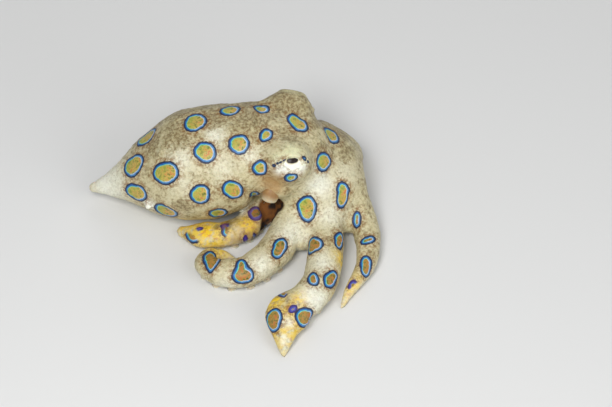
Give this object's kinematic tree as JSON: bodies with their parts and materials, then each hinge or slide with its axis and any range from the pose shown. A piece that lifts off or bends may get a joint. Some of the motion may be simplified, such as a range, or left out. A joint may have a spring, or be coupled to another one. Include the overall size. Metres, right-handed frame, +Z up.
{
  "type": "blue-ringed octopus",
  "caption": "Life-size still model of a blue-ringed octopus at rest: plump pointed mantle, raised eyes, side funnel and short curled arms with suckers.",
  "frame": {"origin": "bottom centre of the whole animal's box, on the ground it lies on", "axes": "+X the way the body points (arms in front, mantle behind), +Y the animal's left side, +Z up"},
  "size_m": [0.0604, 0.0674, 0.0246],
  "materials": {
    "body_skin": "wet cream skin, brown speckle, blue rings in dark halos",
    "head_skin": "wet olive-brown skin with blue rings",
    "arm_skin": "wet cream to ochre skin with blue rings",
    "arm_tip_skin": "wet golden-yellow skin with blue marks",
    "funnel": "thin translucent orange-brown",
    "eye": "glossy golden iris with a dark slit pupil"
  },
  "bodies": {
    "root": {"arm_left_1_base": "arm_skin", "arm_left_1_middle": "arm_skin", "arm_left_1_tip": "arm_tip_skin", "arm_left_2_base": "arm_skin", "arm_left_2_middle": "arm_skin", "arm_left_2_tip": "arm_tip_skin", "arm_left_3_base": "arm_skin", "arm_left_3_middle": "arm_skin", "arm_left_3_tip": "arm_tip_skin", "arm_left_4_base": "arm_skin", "arm_left_4_middle": "arm_skin", "arm_left_4_tip": "arm_tip_skin", "arm_right_1_base": "arm_skin", "arm_right_1_middle": "arm_skin", "arm_right_1_tip": "arm_tip_skin", "arm_right_2_base": "arm_skin", "arm_right_2_middle": "arm_skin", "arm_right_2_tip": "arm_tip_skin", "arm_right_3_base": "arm_skin", "arm_right_3_middle": "arm_skin", "arm_right_3_tip": "arm_tip_skin", "arm_right_4_base": "arm_skin", "arm_right_4_middle": "arm_skin", "arm_right_4_tip": "arm_tip_skin", "crown": "body_skin", "eye_left": "eye", "eye_right": "eye", "funnel": "funnel", "head": "head_skin", "mantle": "body_skin"}
  },
  "joints": []
}
